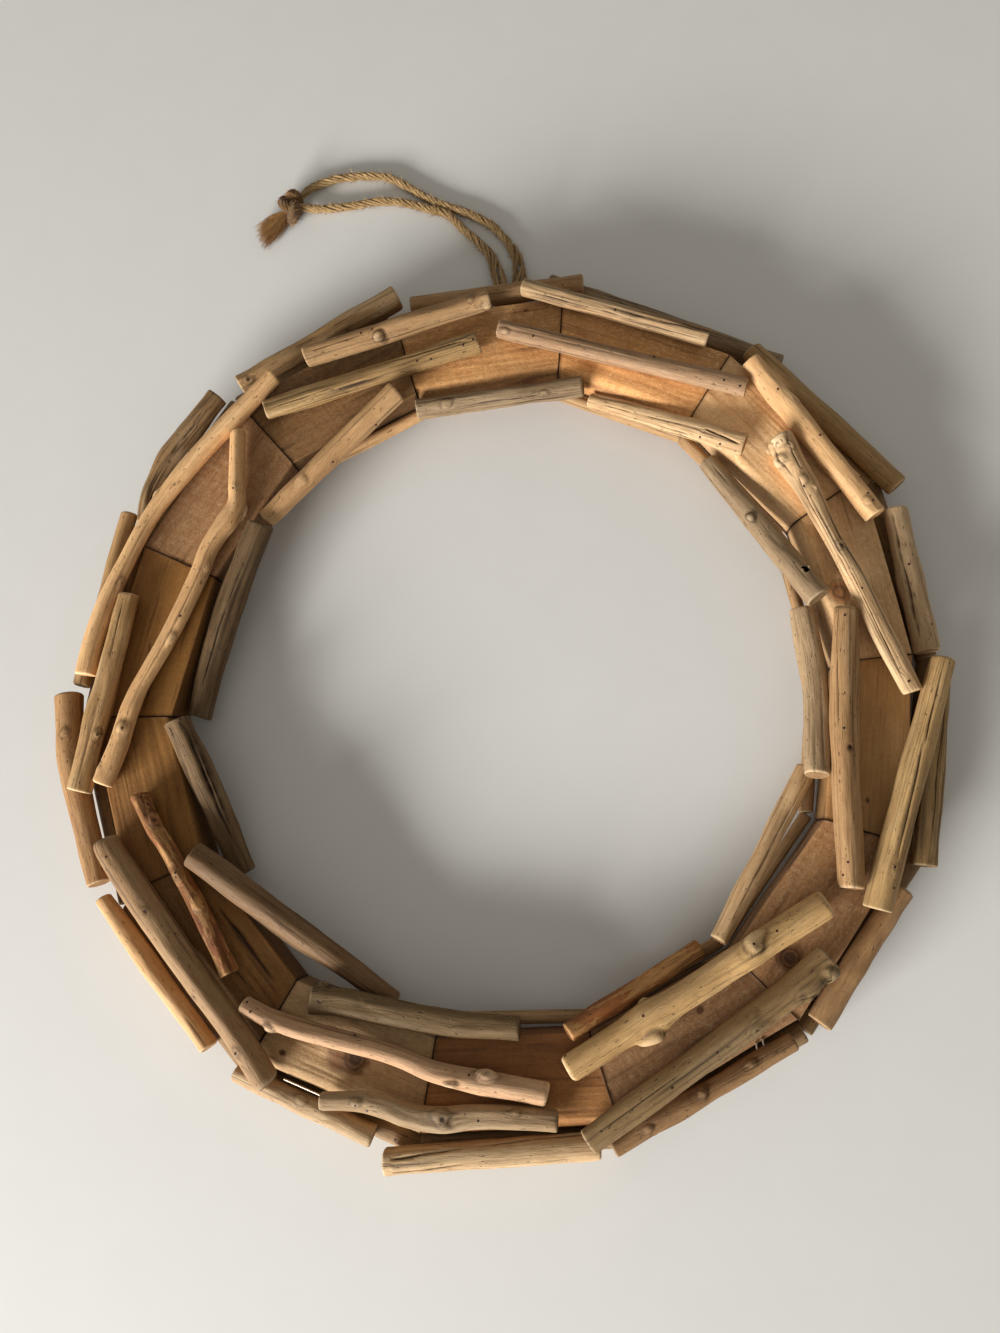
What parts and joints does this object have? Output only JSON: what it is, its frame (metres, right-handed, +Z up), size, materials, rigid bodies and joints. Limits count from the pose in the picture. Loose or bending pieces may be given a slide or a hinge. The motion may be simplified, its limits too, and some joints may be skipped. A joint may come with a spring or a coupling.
{
  "type": "driftwood wreath",
  "caption": "Round driftwood wreath of butted flat boards edged and faced with water-worn sticks, lying on its back, with a knotted hanging loop of jute twine.",
  "frame": {"origin": "below the middle of the wooden pieces' box, to within 2 mm, on the surface that the wreath lies on", "axes": "+Z up, out of the wreath's face; +Y towards the side where the hanging loop comes out; +X to the right as seen from above"},
  "size_m": [0.3836, 0.4566, 0.0342],
  "materials": {
    "sawn_board": "bare sawn wood, matte",
    "tan_driftwood": "water-worn bare wood, matte",
    "pale_driftwood": "water-worn bare wood, matte",
    "olive_driftwood": "water-worn bare wood, matte",
    "brown_driftwood": "water-worn bare wood, matte",
    "pink_driftwood": "water-worn bare wood, matte",
    "red_driftwood": "water-worn bare wood, matte",
    "grey_driftwood": "water-worn bare wood, matte",
    "orange_driftwood": "water-worn bare wood, matte",
    "jute_twine": "hairy two-ply jute, matte"
  },
  "bodies": {
    "root": {"board_01": "sawn_board", "board_02": "sawn_board", "board_03": "sawn_board", "board_04": "sawn_board", "board_05": "sawn_board", "board_06": "sawn_board", "board_07": "sawn_board", "board_08": "sawn_board", "board_09": "sawn_board", "board_10": "sawn_board", "board_11": "sawn_board", "board_12": "sawn_board", "board_13": "sawn_board", "board_14": "sawn_board", "front_outer_01": "tan_driftwood", "front_outer_02": "pale_driftwood", "front_outer_03": "tan_driftwood", "front_outer_04": "olive_driftwood", "front_outer_05": "olive_driftwood", "front_outer_06": "pale_driftwood", "front_outer_07": "tan_driftwood", "front_outer_08": "brown_driftwood", "front_outer_09": "tan_driftwood", "front_inner_01": "olive_driftwood", "front_inner_02": "pink_driftwood", "front_inner_03": "pale_driftwood", "front_inner_04": "tan_driftwood", "front_inner_05": "olive_driftwood", "front_inner_06": "pink_driftwood", "front_inner_07": "red_driftwood", "front_inner_08": "tan_driftwood", "outer_side_01": "brown_driftwood", "outer_side_02": "tan_driftwood", "outer_side_03": "grey_driftwood", "outer_side_04": "olive_driftwood", "outer_side_05": "grey_driftwood", "outer_side_06": "olive_driftwood", "outer_side_07": "orange_driftwood", "outer_side_08": "orange_driftwood", "outer_side_09": "pale_driftwood", "outer_side_10": "pale_driftwood", "outer_side_11": "tan_driftwood", "outer_side_12": "orange_driftwood", "outer_side_13": "brown_driftwood", "outer_side_14": "brown_driftwood", "inner_side_01": "grey_driftwood", "inner_side_02": "pale_driftwood", "inner_side_03": "grey_driftwood", "inner_side_04": "grey_driftwood", "inner_side_05": "pale_driftwood", "inner_side_06": "red_driftwood", "inner_side_07": "olive_driftwood", "inner_side_08": "orange_driftwood", "inner_side_09": "olive_driftwood", "inner_side_10": "grey_driftwood", "inner_side_11": "tan_driftwood", "lower_outer_sticks": "brown_driftwood", "lower_inner_sticks": "tan_driftwood", "twine_loop": "jute_twine", "twine_knot": "jute_twine"}
  },
  "joints": []
}
